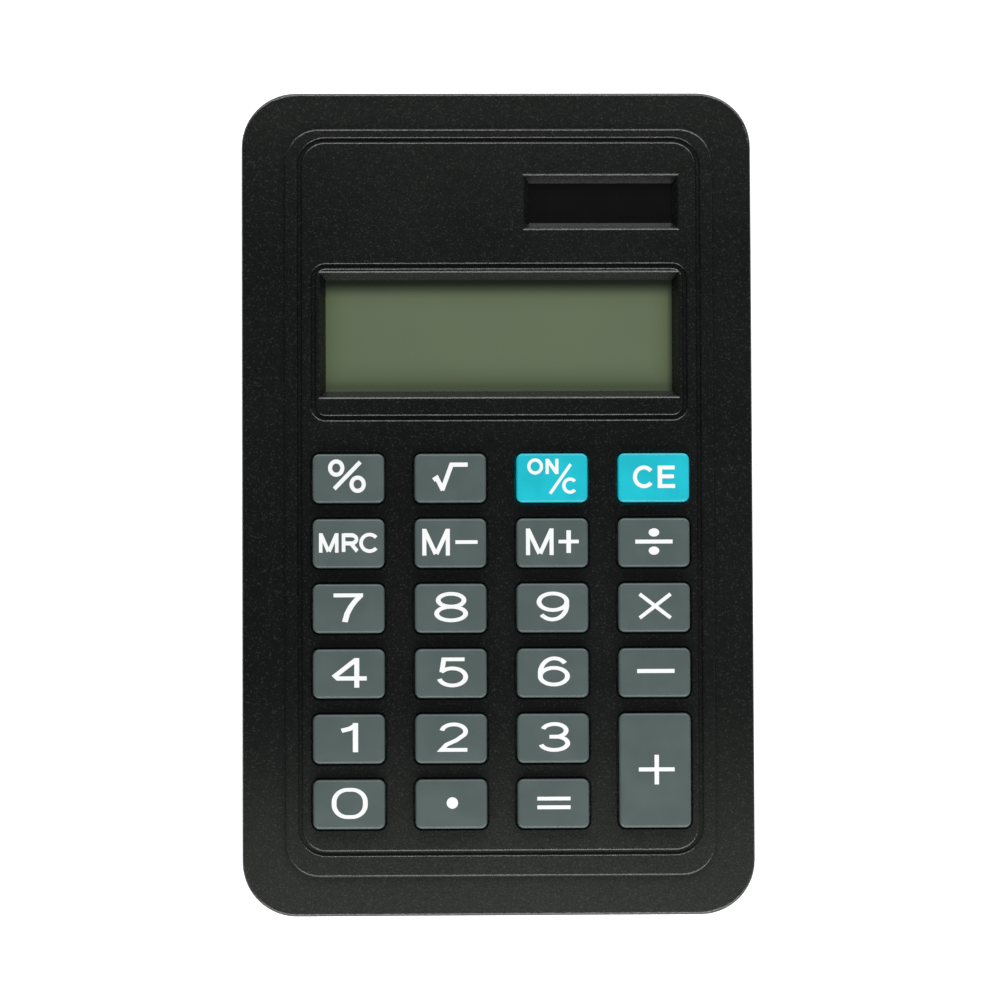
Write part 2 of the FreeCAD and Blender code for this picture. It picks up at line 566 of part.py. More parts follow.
def contact_pads():
    """Two half discs of printed carbon under each dome."""
    pads = []
    for name, x, y, width, height in key_places():
        pad = disc(x, y, PAD_RADIUS, BOARD_TOP, BOARD_TOP + PAD_THICKNESS)
        split = block(x - PAD_SPLIT / 2, x + PAD_SPLIT / 2, y - PAD_RADIUS, y + PAD_RADIUS,
                      BOARD_TOP, BOARD_TOP + PAD_THICKNESS)
        pads += pad.cut(split).Solids
    return pads


# ---------------------------------------------------------------- board
def circuit_board():
    width, height = BOARD_RIGHT - BOARD_LEFT, BOARD_HIGH_END - BOARD_BOTTOM
    x, y = (BOARD_RIGHT + BOARD_LEFT) / 2, (BOARD_HIGH_END + BOARD_BOTTOM) / 2
    board = rounded_block(x, y, width, height, BOARD_CORNER, BOARD_UNDERSIDE, BOARD_TOP)
    bay_radius = BAY_OUTER_RADIUS + BAY_BOARD_CLEARANCE
    cuts = [disc(CELL_X, CELL_Y, bay_radius, BOARD_UNDERSIDE, BOARD_TOP),
            block(CELL_X - bay_radius, CELL_X + bay_radius, CELL_Y, BOARD_HIGH_END + BOARD_END,
                  BOARD_UNDERSIDE, BOARD_TOP)]
    for screw_x, screw_y in BOARD_BOSS_PLACES:
        cuts.append(disc(screw_x, screw_y, SCREW_RADIUS + SCREW_PASSAGE, BOARD_UNDERSIDE, BOARD_TOP))
    return board.cut(cuts)


def chip_blob():
    """The low dome of black resin over the bare chip, under the board."""
    sphere_radius = (BLOB_RADIUS ** 2 + BLOB_HEIGHT ** 2) / (2 * BLOB_HEIGHT)
    centre = Vector(PANEL_SHIFT_X, WINDOW_Y, BOARD_UNDERSIDE - BLOB_HEIGHT + sphere_radius)
    ball = Part.makeSphere(sphere_radius, centre)
    slab = block(PANEL_SHIFT_X - BLOB_RADIUS, PANEL_SHIFT_X + BLOB_RADIUS, WINDOW_Y - BLOB_RADIUS,
                 WINDOW_Y + BLOB_RADIUS, BOARD_UNDERSIDE - BLOB_HEIGHT, BOARD_UNDERSIDE)
    return ball.common(slab)


def chip_capacitors():
    chips = []
    for index in range(CHIP_COUNT):
        x = PANEL_SHIFT_X + BLOB_RADIUS + CHIP_PITCH * (index + 1)
        chips.append(block(x - CHIP_LENGTH / 2, x + CHIP_LENGTH / 2, WINDOW_Y - CHIP_WIDTH / 2,
                           WINDOW_Y + CHIP_WIDTH / 2, BOARD_UNDERSIDE - CHIP_HEIGHT, BOARD_UNDERSIDE))
    return chips


# ---------------------------------------------------------------- display
def display_layer(low, high, margin, bottom, top):
    """A flat layer of the display between two ends, so much wider than the window each side."""
    half = WINDOW_WIDTH / 2 + margin
    return block(PANEL_SHIFT_X - half, PANEL_SHIFT_X + half, low, high, bottom, top)


def display_pieces():
    film_low, film_high = REAR_GLASS_LOW_END - FILM_MARGIN, GLASS_HIGH_END - FILM_THICKNESS
    zebra_low = (FRONT_GLASS_LOW_END + REAR_GLASS_LOW_END - ZEBRA_WIDTH) / 2
    return {
        "lcd_front_polariser": display_layer(film_low, film_high, FILM_MARGIN, FRONT_GLASS_TOP, DISPLAY_FRONT),
        "lcd_front_glass": display_layer(FRONT_GLASS_LOW_END, GLASS_HIGH_END, GLASS_SIDE_MARGIN,
                                         REAR_GLASS_TOP, FRONT_GLASS_TOP),
        "lcd_rear_glass": display_layer(REAR_GLASS_LOW_END, GLASS_HIGH_END, GLASS_SIDE_MARGIN,
                                        REFLECTOR_TOP, REAR_GLASS_TOP),
        "lcd_reflector": display_layer(REAR_GLASS_LOW_END, film_high, FILM_MARGIN, FOAM_TOP, REFLECTOR_TOP),
        "lcd_foam_pad": display_layer(REAR_GLASS_LOW_END, film_high, FILM_MARGIN, BOARD_TOP, FOAM_TOP),
        "zebra_strip": display_layer(zebra_low, zebra_low + ZEBRA_WIDTH, GLASS_SIDE_MARGIN - ZEBRA_END_GAP,
                                     BOARD_TOP, REAR_GLASS_TOP),
    }


# ---------------------------------------------------------------- solar cell
def solar_cell():
    half_width, half_height = SOLAR_CELL_WIDTH / 2, SOLAR_CELL_HEIGHT / 2
    return block(SOLAR_X - half_width, SOLAR_X + half_width, SOLAR_Y - half_height, SOLAR_Y + half_height,
                 SOLAR_CELL_UNDERSIDE, SOLAR_CELL_TOP)


def solar_cell_tape():
    """A frame of double-sided tape between the cell and the front wall."""
    half_width, half_height = SOLAR_CELL_WIDTH / 2, SOLAR_CELL_HEIGHT / 2
    frame = block(SOLAR_X - half_width, SOLAR_X + half_width, SOLAR_Y - half_height, SOLAR_Y + half_height,
                  SOLAR_CELL_TOP, WALL_UNDERSIDE)
    clear_width = SOLAR_WIDTH / 2 + SOLAR_TAPE_INSET
    clear_height = SOLAR_HEIGHT / 2 + SOLAR_TAPE_INSET
    return frame.cut(block(SOLAR_X - clear_width, SOLAR_X + clear_width, SOLAR_Y - clear_height,
                           SOLAR_Y + clear_height, SOLAR_CELL_TOP, WALL_UNDERSIDE))


def rounded_path(points):
    """Straight runs joined by tangent arcs as large as the two runs allow."""
    edges = []
    start = points[0]
    for before, corner, after in zip(points, points[1:], points[2:]):
        towards, onwards = corner - before, after - corner
        setback = 0.45 * min(towards.Length, onwards.Length)
        half_turn = towards.getAngle(onwards) / 2
        radius = setback / math.tan(half_turn)
        entry = corner - towards.normalize() * setback
        leaving = corner + onwards.normalize() * setback
        inwards = (entry + leaving) * 0.5 - corner
        middle = corner + inwards.normalize() * (radius / math.cos(half_turn) - radius)
        edges.append(Part.LineSegment(start, entry).toShape())
        edges.append(Part.Arc(entry, middle, leaving).toShape())
        print("lead bend radius %.2f, lead diameter %.2f" % (radius, LEAD_DIAMETER))
        start = leaving
    edges.append(Part.LineSegment(start, points[-1]).toShape())
    return Part.Wire(edges)


def solar_lead(side):
    """An insulated wire from under the solar cell down to the board."""
    radius = LEAD_DIAMETER / 2
    y = SOLAR_Y + side * LEAD_SPACING / 2
    first = SOLAR_X - SOLAR_CELL_WIDTH / 2 + LEAD_INSIDE_CELL
    second = first - LEAD_RUN_ON_CELL
    third = second - LEAD_RUN_DOWN
    high, low = SOLAR_CELL_UNDERSIDE - radius, BOARD_TOP + radius
    points = [Vector(first, y, high), Vector(second, y, high), Vector(third, y, low),
              Vector(third - LEAD_RUN_ON_BOARD, y, low)]
    path = rounded_path(points)
    section = Part.Wire(Part.makeCircle(radius, points[0], Vector(1, 0, 0)))
    lead = path.makePipeShell([section], True, True)
    expected = math.pi * radius ** 2 * path.Length
    print("lead length %.2f, volume %.4f, expected %.4f" % (path.Length, lead.Volume, expected))
    return lead


# ---------------------------------------------------------------- power
def button_cell():
    can_top = CELL_TOP - CELL_CAP_HEIGHT
    can = disc(CELL_X, CELL_Y, CELL_RADIUS, CELL_BOTTOM, can_top)
    rims = [edge for edge in can.Edges if edge.BoundBox.ZLength < CELL_EDGE_ROUND]
    cap = disc(CELL_X, CELL_Y, CELL_RADIUS - CELL_CAP_INSET, can_top, CELL_TOP)
    return can.makeFillet(CELL_EDGE_ROUND, rims).fuse(cap)


def battery_contact_minus():
    """A bent strip from the board over the middle of the cell's cap."""
    half = STRIP_WIDTH / 2
    edge = CELL_X - BAY_OUTER_RADIUS - BAY_BOARD_CLEARANCE
    foot = block(edge - STRIP_FOOT, edge, CELL_Y - half, CELL_Y + half, BOARD_TOP, BOARD_TOP + STRIP_THICKNESS)
    riser = block(edge - STRIP_THICKNESS, edge, CELL_Y - half, CELL_Y + half, BOARD_TOP, CELL_TOP + STRIP_THICKNESS)
    arm = block(edge - STRIP_THICKNESS, CELL_X + half, CELL_Y - half, CELL_Y + half,
                CELL_TOP, CELL_TOP + STRIP_THICKNESS)
    return foot.fuse([riser, arm]).removeSplitter()


def battery_contact_plus():
    """A bent strip from the board down the side of the cell."""
    half = STRIP_WIDTH / 2
    side = CELL_X + CELL_RADIUS + STRIP_SIDE_GAP
    foot_end = CELL_X + BAY_OUTER_RADIUS + BAY_BOARD_CLEARANCE + STRIP_FOOT
    foot = block(side, foot_end, CELL_Y - half, CELL_Y + half, BOARD_TOP, BOARD_TOP + STRIP_THICKNESS)
    tab = block(side, side + STRIP_THICKNESS, CELL_Y - half, CELL_Y + half,
                FLOOR + STRIP_THICKNESS, BOARD_TOP + STRIP_THICKNESS)
    return foot.fuse(tab).removeSplitter()


# ---------------------------------------------------------------- fasteners and feet
def screw(x, y, seat, length):
    """A cross-head screw driven upwards, its head's flat face at the seat."""
    head_bottom = seat - SCREW_HEAD_HEIGHT
    head = disc(x, y, SCREW_HEAD_RADIUS, head_bottom, seat)
    head = head.makeFillet(SCREW_HEAD_HEIGHT / 3, [e for e in head.Edges if e.BoundBox.ZMax < seat - CROSS_DEPTH])
    shank = disc(x, y, SCREW_RADIUS, seat, seat + length)
    long_half, short_half = CROSS_LENGTH / 2, CROSS_WIDTH / 2
    cross = [block(x - long_half, x + long_half, y - short_half, y + short_half,
                   head_bottom, head_bottom + CROSS_DEPTH),
             block(x - short_half, x + short_half, y - long_half, y + long_half,
                   head_bottom, head_bottom + CROSS_DEPTH)]
    return head.fuse(shank).cut(cross).removeSplitter()


def case_screws():
    length = CASE_BOSS_JOINT - FLOOR + SCREW_BITE
    return [screw(x, y, FLOOR, length) for x, y in CASE_BOSS_PLACES]


def board_screws():
    return [screw(x, y, BOARD_UNDERSIDE, SCREW_BITE) for x, y in BOARD_BOSS_PLACES]


def foot_places():
    return [(x, y) for x in (-FOOT_X, FOOT_X) for y in (-FOOT_Y, FOOT_Y)]


def rubber_feet():
    feet = []
    for x, y in foot_places():
        foot = disc(x, y, FOOT_RADIUS, 0, FOOT_HEIGHT + FOOT_RECESS)
        rim = [edge for edge in foot.Edges if edge.BoundBox.ZMax < FOOT_EDGE_ROUND]
        feet.append(foot.makeFillet(FOOT_EDGE_ROUND, rim))
    return feet


# ---------------------------------------------------------------- writing
def save(name, shape):
    solids = shape if isinstance(shape, list) else [shape]
    Part.makeCompound(solids).exportStep("parts/%s.step" % name)
    print("%-24s %2d solid(s) %10.2f mm3" % (name, len(solids), sum(solid.Volume for solid in solids)))


os.makedirs("parts", exist_ok=True)
save("top_cover", top_cover())
save("bottom_cover", bottom_cover())
save("battery_door", battery_door())
for key_name, key_x, key_y, key_width, key_height in key_places():
    save(key_name, key(key_x, key_y, key_width, key_height))
save("rubber_dome_sheet", rubber_dome_sheet())
save("contact_pills", contact_pills())
save("contact_pads", contact_pads())
save("circuit_board", circuit_board())
save("chip_blob", chip_blob())
save("chip_capacitors", chip_capacitors())
for layer_name, layer in display_pieces().items():
    save(layer_name, layer)
save("solar_cell", solar_cell())
save("solar_cell_tape", solar_cell_tape())
save("solar_lead_red", solar_lead(1))
save("solar_lead_black", solar_lead(-1))
save("button_cell", button_cell())
save("battery_contact_plus", battery_contact_plus())
save("battery_contact_minus", battery_contact_minus())
save("case_screws", case_screws())
save("board_screws", board_screws())
save("rubber_feet", rubber_feet())
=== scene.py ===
import json
import math

import bmesh
import bpy
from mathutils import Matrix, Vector

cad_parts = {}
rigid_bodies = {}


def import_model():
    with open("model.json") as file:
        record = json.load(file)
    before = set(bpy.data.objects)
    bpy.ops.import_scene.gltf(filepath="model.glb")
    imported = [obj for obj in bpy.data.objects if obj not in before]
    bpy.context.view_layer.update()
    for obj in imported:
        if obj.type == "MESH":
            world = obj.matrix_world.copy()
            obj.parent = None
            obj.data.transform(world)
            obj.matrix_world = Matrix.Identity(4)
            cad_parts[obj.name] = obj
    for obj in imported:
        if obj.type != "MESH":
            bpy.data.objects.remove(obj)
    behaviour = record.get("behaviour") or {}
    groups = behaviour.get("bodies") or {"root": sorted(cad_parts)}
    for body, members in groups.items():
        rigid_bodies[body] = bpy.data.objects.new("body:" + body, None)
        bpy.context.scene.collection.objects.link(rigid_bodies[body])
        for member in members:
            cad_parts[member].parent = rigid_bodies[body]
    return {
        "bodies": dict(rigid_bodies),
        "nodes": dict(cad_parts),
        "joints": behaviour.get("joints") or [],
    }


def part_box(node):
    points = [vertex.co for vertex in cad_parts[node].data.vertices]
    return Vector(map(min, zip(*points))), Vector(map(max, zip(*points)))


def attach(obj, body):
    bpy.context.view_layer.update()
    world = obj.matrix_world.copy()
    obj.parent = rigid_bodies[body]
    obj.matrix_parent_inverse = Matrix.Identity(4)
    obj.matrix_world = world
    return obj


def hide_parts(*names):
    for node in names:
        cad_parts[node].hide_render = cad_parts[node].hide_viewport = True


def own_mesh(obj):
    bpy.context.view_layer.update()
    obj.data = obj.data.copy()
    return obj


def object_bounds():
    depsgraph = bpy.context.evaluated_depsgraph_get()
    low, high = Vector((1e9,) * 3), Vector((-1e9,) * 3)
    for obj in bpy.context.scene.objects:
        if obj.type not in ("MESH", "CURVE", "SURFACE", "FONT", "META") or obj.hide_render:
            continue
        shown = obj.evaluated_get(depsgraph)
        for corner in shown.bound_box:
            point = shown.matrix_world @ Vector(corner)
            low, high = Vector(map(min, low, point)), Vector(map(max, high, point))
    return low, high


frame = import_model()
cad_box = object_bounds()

nodes = frame["nodes"]
MM = 0.001

# ---------------------------------------------------------------------------------------- camera
# A long lens half a metre above the calculator, a little towards its near left corner, so that the
# body fills the picture with hardly any perspective.
LENS_LENGTH = 127
SENSOR_WIDTH = 36
CAMERA_PLACE = (-10.15 * MM, -18.85 * MM, 508.5 * MM)
CAMERA_TURN = (math.radians(2.2), math.radians(-1.2), math.radians(-0.237))

camera_data = bpy.data.cameras.new("camera")
camera_data.lens = LENS_LENGTH
camera_data.sensor_width = SENSOR_WIDTH
camera_data.clip_start = 0.05
camera_data.clip_end = 20
camera = bpy.data.objects.new("camera", camera_data)
bpy.context.scene.collection.objects.link(camera)
camera.location = CAMERA_PLACE
camera.rotation_mode = "ZXY"
camera.rotation_euler = CAMERA_TURN
bpy.context.scene.camera = camera

# ---------------------------------------------------------------------------------------- studio
# A pale, faintly lit table top and two long low lamps, one past each end of the calculator: slopes
# that face the ends shine and those that face the sides stay dark.
SKY_COLOUR = (0.95, 0.98, 1.0, 1)
SKY_STRENGTH = 0.10
LAMP_WIDTH = 0.5
LAMP_HEIGHT = 0.14
TABLE_SIZE = 6.0
TABLE_GLOW = 0.6

bpy.context.scene.view_settings.view_transform = "Standard"
world = bpy.data.worlds.new("studio")
bpy.context.scene.world = world
world.use_nodes = True
world.node_tree.nodes["Background"].inputs["Color"].default_value = SKY_COLOUR
world.node_tree.nodes["Background"].inputs["Strength"].default_value = SKY_STRENGTH


def soft_lamp(name, place, watts):
    """A rectangular lamp that faces the calculator."""
    data = bpy.data.lights.new(name, "AREA")
    data.shape = "RECTANGLE"
    data.size = LAMP_WIDTH
    data.size_y = LAMP_HEIGHT
    data.energy = watts
    lamp = bpy.data.objects.new(name, data)
    bpy.context.scene.collection.objects.link(lamp)
    lamp.location = place
    lamp.rotation_euler = (-Vector(place)).to_track_quat("-Z", "Y").to_euler()


soft_lamp("lamp_far_end", (0.02, 0.26, 0.15), 1.26)
soft_lamp("lamp_near_end", (0.02, -0.24, 0.15), 1.21)


class Finish:
    """A node's output in a material; arithmetic on it adds Math nodes to that material."""

    def __init__(self, socket):
        self.socket = socket
        self.tree = socket.id_data

    def node(self, kind, settings, inputs, output=0):
        """Adds a node of any kind: its settings first, then values or links for its sockets."""
        made = self.tree.nodes.new(kind)
        for name, value in settings.items():
            setattr(made, name, value)
        for name, value in inputs.items():
            if isinstance(value, Finish):
                self.tree.links.new(value.socket, made.inputs[name])
            else:
                made.inputs[name].default_value = value
        return Finish(made.outputs[output])

    def math(self, operation, first, second=0.0):
        return self.node("ShaderNodeMath", {"operation": operation}, {0: first, 1: second})

    def __add__(self, other):
        return self.math("ADD", self, other)

    __radd__ = __add__

    def __sub__(self, other):
        return self.math("SUBTRACT", self, other)

    def __rsub__(self, other):
        return self.math("SUBTRACT", other, self)

    def __mul__(self, other):
        return self.math("MULTIPLY", self, other)

    __rmul__ = __mul__

    def __truediv__(self, other):
        return self.math("DIVIDE", self, other)

    def __abs__(self):
        return self.math("ABSOLUTE", self)

    def band(self, low, high):
        """0 below low, 1 above high, and smooth between."""
        return self.node("ShaderNodeMapRange", {"interpolation_type": "SMOOTHSTEP"},
                         {"Value": self, "From Min": low, "From Max": high})

    def blend(self, first, second):
        """From one colour to another, by this value."""
        return self.node("ShaderNodeMix", {"data_type": "RGBA"}, {0: self, 6: first, 7: second}, output=2)

    def noise(self, scale, detail=2.0, roughness=0.5):
        """Cloudy variation over these coordinates; scale is features in a metre."""
        return self.node("ShaderNodeTexNoise", {},
                         {"Vector": self, "Scale": scale, "Detail": detail, "Roughness": roughness})

    def part(self, axis):
        """One of a vector's three numbers."""
        return self.node("ShaderNodeSeparateXYZ", {}, {0: self}, output="XYZ".index(axis))

    def bump(self, distance, strength=1.0):
        return self.node("ShaderNodeBump", {}, {"Strength": strength, "Distance": distance, "Height": self})


def new_finish(name, **constants):
    """A material whose constants sit on its shader; returns it, a way to feed its shader, its places."""
    material = bpy.data.materials.new(name)
    material.use_nodes = True
    shader = material.node_tree.nodes["Principled BSDF"]
    for key, value in constants.items():
        shader.inputs[key.replace("_", " ")].default_value = value
    places = Finish(material.node_tree.nodes.new("ShaderNodeTexCoord").outputs["Object"])

    def feed(**links):
        for key, value in links.items():
            places.tree.links.new(value.socket, shader.inputs[key.replace("_", " ")])

    return material, feed, places


def tint(colour, gain=1.0):
    """A colour with an alpha, made lighter or darker."""
    return tuple(min(1.0, channel * gain) for channel in colour) + (1.0,)


def paint(material, *pieces):
    for piece in pieces:
        piece.data.materials.clear()
        piece.data.materials.append(material)


table_white, feed, places = new_finish("table_white", Roughness=0.9, Emission_Color=(1, 1, 1, 1),
                                       Emission_Strength=TABLE_GLOW)
feed(Base_Color=places.noise(3.0).blend((0.88, 0.89, 0.90, 1), (0.93, 0.93, 0.93, 1)))
bpy.ops.object.select_all(action="DESELECT")
bpy.ops.mesh.primitive_plane_add(size=TABLE_SIZE, location=(0, 0, 0))
table_top = bpy.context.object
table_top.name = "table_top"
paint(table_white, table_top)

# ---------------------------------------------------------------------------------------- shells
# Two injection moulded shells in black ABS with a spark-eroded grain, joined by four screws from
# the back.  Dust greys the grain in faint patches and flecks, and the colour is lightened towards the
# two ends, most of all the near end, as painted light from the lamps past each end.
SHELL_BLACK = (0.0018, 0.0026, 0.0021)
SHELL_DUST_AND_LIGHT = (0.078, 0.082, 0.074)
GRAIN = 3400
half_length = cad_box[1][1]


def black_plastic(name, offset):
    """Grained black plastic; the offset keeps two mouldings from having the same grain."""
    material, feed, places = new_finish(name, IOR=1.54)
    moved = places.node("ShaderNodeMapping", {}, {"Vector": places, "Location": (offset, offset, 0)})
    grain = moved.noise(GRAIN, 3.0, 0.6)
    coarse = moved.noise(GRAIN / 3.2, 2.0)
    cloud = moved.noise(34, 4.0, 0.6).band(0.38, 0.68)
    # Painted light: the colour is lightened a little towards the far end and much more towards the near
    # end, where the lamps shine on it; the cloud, flecks and specks are dust in the grain.
    far_end_light = places.part("Y").band(0.55 * half_length, 1.1 * half_length)
    near_end_light = (-1.0 * places.part("Y")).band(0.4 * half_length, 1.1 * half_length)
    dust_and_end_light = 0.04 * cloud + 0.08 * far_end_light + 0.34 * near_end_light
    fleck = moved.noise(1.5 * GRAIN, 2.0).band(0.36, 0.66)
    speck = moved.noise(1.1 * GRAIN, 1.0).band(0.56, 0.76)
    dust_and_light = dust_and_end_light * (0.65 + 0.5 * fleck) + 0.24 * speck
    feed(Base_Color=dust_and_light.blend(tint(SHELL_BLACK), tint(SHELL_DUST_AND_LIGHT)),
         Roughness=0.20 + 0.12 * coarse,
         Normal=(grain + 0.9 * coarse).bump(0.05 * MM, 1.0))
    return material


paint(black_plastic("case_black", 0.0), nodes["top_cover"], nodes["bottom_cover"])

# ---------------------------------------------------------------------------------------- keys
# Hard caps moulded in grey plastic, two of them in teal, with soft top edges and a flange below that
# holds them under the front shell.  One short cap is copied for all the keys but the tall one.
KEY_GREY = (0.080, 0.108, 0.103)
KEY_TEAL = (0.008, 0.500, 0.600)
KEY_CORNER = 0.9 * MM
KEY_EDGE = 0.36 * MM
FLANGE_REACH = 0.73 * MM
FLANGE_THICKNESS = 0.75 * MM
CAP_WALL = 1.0 * MM
CAP_ROOF = 1.2 * MM
INK = 0.02 * MM
key_bodies = sorted(name for name in frame["bodies"] if name.startswith("key_"))
teal_keys = ("key_on_clear", "key_clear_entry")
tall_key = "key_plus"


def choose(piece, kind, test):
    """In edit mode, selects the faces or edges whose middle and direction pass the test."""
    bpy.ops.mesh.select_mode(type=kind)
    bpy.ops.mesh.select_all(action="DESELECT")
    mesh = bmesh.from_edit_mesh(piece.data)
    if kind == "FACE":
        for face in mesh.faces:
            face.select_set(test(face.calc_center_median(), face.normal))
    else:
        for edge in mesh.edges:
            first, second = (vertex.co for vertex in edge.verts)
            edge.select_set(test((first + second) / 2, (second - first).normalized()))
    mesh.select_flush_mode()
    bmesh.update_edit_mesh(piece.data)


def start_block(name, low, high):
    """A block between two corners, left in edit mode to be shaped."""
    bpy.ops.object.select_all(action="DESELECT")
    bpy.ops.mesh.primitive_cube_add(size=1, location=(low + high) / 2, scale=high - low)
    bpy.ops.object.transform_apply(location=True, rotation=True, scale=True)
    piece = bpy.context.object
    piece.name = name
    bpy.ops.object.mode_set(mode="EDIT")
    return piece


def end_shaping(piece, angle=40):
    """Back to object mode, smooth but for the corners sharper than the angle."""
    bpy.ops.object.mode_set(mode="OBJECT")
    bpy.ops.object.shade_smooth_by_angle(angle=math.radians(angle))
    return piece


def widen(centre, size, growth):
    """Scales what is selected so that an outline of that size grows by so much on each side."""
    bpy.ops.transform.resize(value=(1 + 2 * growth / size.x, 1 + 2 * growth / size.y, 1),
                             center_override=centre)


def key_cap(name, low, high):
    """A cap; the two corners are those of its flange's underside and its printed top."""
    reach = Vector((FLANGE_REACH, FLANGE_REACH, 0))
    cap_low = low + reach + Vector((0, 0, FLANGE_THICKNESS))
    cap_high = high - reach - Vector((0, 0, INK))
    size = cap_high - cap_low
    flange_size = high - low
    piece = start_block(name, cap_low, cap_high)
    choose(piece, "EDGE", lambda middle, way: abs(way.z) > 0.9)
    bpy.ops.mesh.bevel(offset=KEY_CORNER, segments=7)
    choose(piece, "FACE", lambda middle, normal: normal.z > 0.9)
    bpy.ops.mesh.bevel(offset=KEY_EDGE, segments=5)
    choose(piece, "FACE", lambda middle, normal: normal.z < -0.9)
    bpy.ops.mesh.extrude_region_move()
    widen((low + high) / 2, size, FLANGE_REACH)
    bpy.ops.mesh.extrude_region_move(TRANSFORM_OT_translate={"value": (0, 0, -FLANGE_THICKNESS)})
    bpy.ops.mesh.extrude_region_move()
    widen((low + high) / 2, flange_size, -FLANGE_REACH - CAP_WALL)
    bpy.ops.mesh.extrude_region_move(
        TRANSFORM_OT_translate={"value": (0, 0, cap_high.z - CAP_ROOF - low.z)})
    return end_shaping(piece)


def copy_piece(piece, name, shift):
    """A copy with its own mesh, moved within that mesh."""
    bpy.ops.object.select_all(action="DESELECT")
    piece.select_set(True)
    bpy.context.view_layer.objects.active = piece
    bpy.ops.object.duplicate(linked=False)
    copy = bpy.context.object
    copy.name = name
    bpy.ops.object.mode_set(mode="EDIT")
    bpy.ops.mesh.select_all(action="SELECT")
    bpy.ops.transform.translate(value=shift)
    bpy.ops.object.mode_set(mode="OBJECT")
    return copy


def key_plastic(name, colour, roughness):
    material, feed, places = new_finish(name, IOR=1.48)
    pores = places.noise(4600)
    cloud = places.noise(240, 3.0)
    feed(Base_Color=cloud.band(0.3, 0.7).blend(tint(colour, 0.93), tint(colour, 1.06)),
         Roughness=roughness + 0.10 * pores, Normal=pores.bump(0.008 * MM, 0.5))
    return material


key_grey = key_plastic("key_grey", KEY_GREY, 0.38)
key_teal = key_plastic("key_teal", KEY_TEAL, 0.36)
first_key = next(body for body in key_bodies if body != tall_key)
first_cap = None
key_middles = {}
for body in key_bodies:
    low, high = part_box(body)
    key_middles[body] = Vector(((low.x + high.x) / 2, (low.y + high.y) / 2, high.z))
    cap_name = body.replace("key_", "cap_")
    if body in (first_key, tall_key):
        cap = key_cap(cap_name, low, high)
        first_cap = first_cap or cap
    else:
        cap = copy_piece(first_cap, cap_name, key_middles[body] - key_middles[first_key])
    paint(key_teal if body in teal_keys else key_grey, cap)
    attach(cap, body)
    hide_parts(body)
    "key_teal" if body in teal_keys else "key_grey"

# ---------------------------------------------------------------------------------------- legends
# White marks screen printed on the caps in a wide sans serif.  Each part of a mark is drawn as
# strokes, then fitted to the left, right, low and high edges given in millimetres from the cap's middle.


def bow(x, y, radius_x, radius_y, start, end):
    """Points along part of an ellipse, in degrees anticlockwise from the right."""
    steps = max(4, math.ceil(abs(end - start) / 8))
    turns = [math.radians(start + (end - start) * step / steps) for step in range(steps + 1)]
    return [(x + radius_x * math.cos(turn), y + radius_y * math.sin(turn)) for turn in turns]


def turned(strokes):
    """The same strokes turned half way round."""
    return [[(-x, -y) for x, y in stroke] for stroke in strokes]


RING = [bow(0, 0, 1, 1, 0, 360)]
DOT = [bow(0, 0, 1, 1, 0, 360)]
DOT_STROKE = 2.0
STROKE_DEPTH = 1.5 * INK
MERGE_REACH = 0.001 * MM
BAR = [[(-1, 0), (1, 0)]]
STEM = [[(0, -1), (0, 1)]]
SLASH = [[(-1, -1), (1, 1)]]
CROSS = [[(-2.1, -1.7), (2.1, 1.7)], [(-2.1, 1.7), (2.1, -1.7)]]
SIX = [bow(0, -0.64, 1.15, 1.14, 0, 360), bow(0.05, -0.20, 1.20, 2.00, 42, 186)]
LETTER_C = [bow(0, 0, 1.15, 1.35, 40, 320)]
LETTER_E = [[(1.0, 1.3), (-0.9, 1.3), (-0.9, -1.3), (1.05, -1.3)], [(-0.9, 0.06), (0.9, 0.06)]]
LETTER_M = [[(-1.4, -1.6), (-1.4, 1.6)], [(1.4, -1.6), (1.4, 1.6)], [(-1.35, 1.4), (-0.05, -1.4)],
            [(0.05, -1.4), (1.35, 1.4)]]
LETTER_N = [[(-0.8, -1.1), (-0.8, 1.1)], [(0.8, -1.1), (0.8, 1.1)], [(-0.75, 0.95), (0.75, -0.95)]]
LETTER_R = [[(-1, -1.35), (-1, 1.35)],
            [(-1, 1.1), (0.1, 1.1)] + bow(0.1, 0.5, 0.75, 0.6, 80, -90) + [(-1, -0.1)],
            [(0.0, -0.05), (0.95, -1.25)]]
ROOT = [[(-2.43, -0.20), (-1.95, 0.10), (-1.08, -1.62)], [(-1.20, -1.62), (0.14, 1.92), (2.45, 1.92)]]
DIGITS = {
    "0": [bow(0.2, 0.2, 1.16, 1.7, 0, 90) + bow(-0.2, 0.2, 1.16, 1.7, 90, 180)
          + bow(-0.2, -0.2, 1.16, 1.7, 180, 270) + bow(0.2, -0.2, 1.16, 1.7, 270, 360) + [(1.36, 0.2)]],
    "1": [[(0.5, -2.1), (0.5, 2.08)], [(0.42, 1.66), (-0.02, 1.25), (-0.72, 0.98)]],
    "2": [bow(0.02, 0.80, 1.10, 1.00, 172, -28)
          + [(0.25, -0.45), (-0.66, -1.06), (-1.12, -1.80), (1.28, -1.80)]],
    "3": [bow(0.02, 0.90, 1.03, 0.90, 166, -84), bow(0, -0.87, 1.18, 0.94, 82, -168),
          [(-0.42, 0.03), (0.25, 0.03)]],
    "4": [[(0.42, 1.80), (-1.30, -0.44), (-1.08, -0.80), (1.36, -0.80)], [(0.52, -2.1), (0.52, 2.08)]],
    "5": [[(1.10, 1.80), (-0.72, 1.80), (-0.90, 0.02)], bow(0.02, -0.62, 1.17, 1.18, 146, -166)],
    "6": SIX,
    "7": [[(-1.30, 1.80), (1.25, 1.80)],
          [(1.05, 1.80), (0.58, 0.98), (0.20, 0.15), (-0.12, -0.85), (-0.33, -2.1)]],
    "8": [bow(0, 0.93, 1.05, 0.87, 0, 360), bow(0, -0.88, 1.18, 0.92, 0, 360)],
    "9": turned(SIX),
}
DIGIT_STROKE = 0.52
DIGIT_WIDENING = 1.3
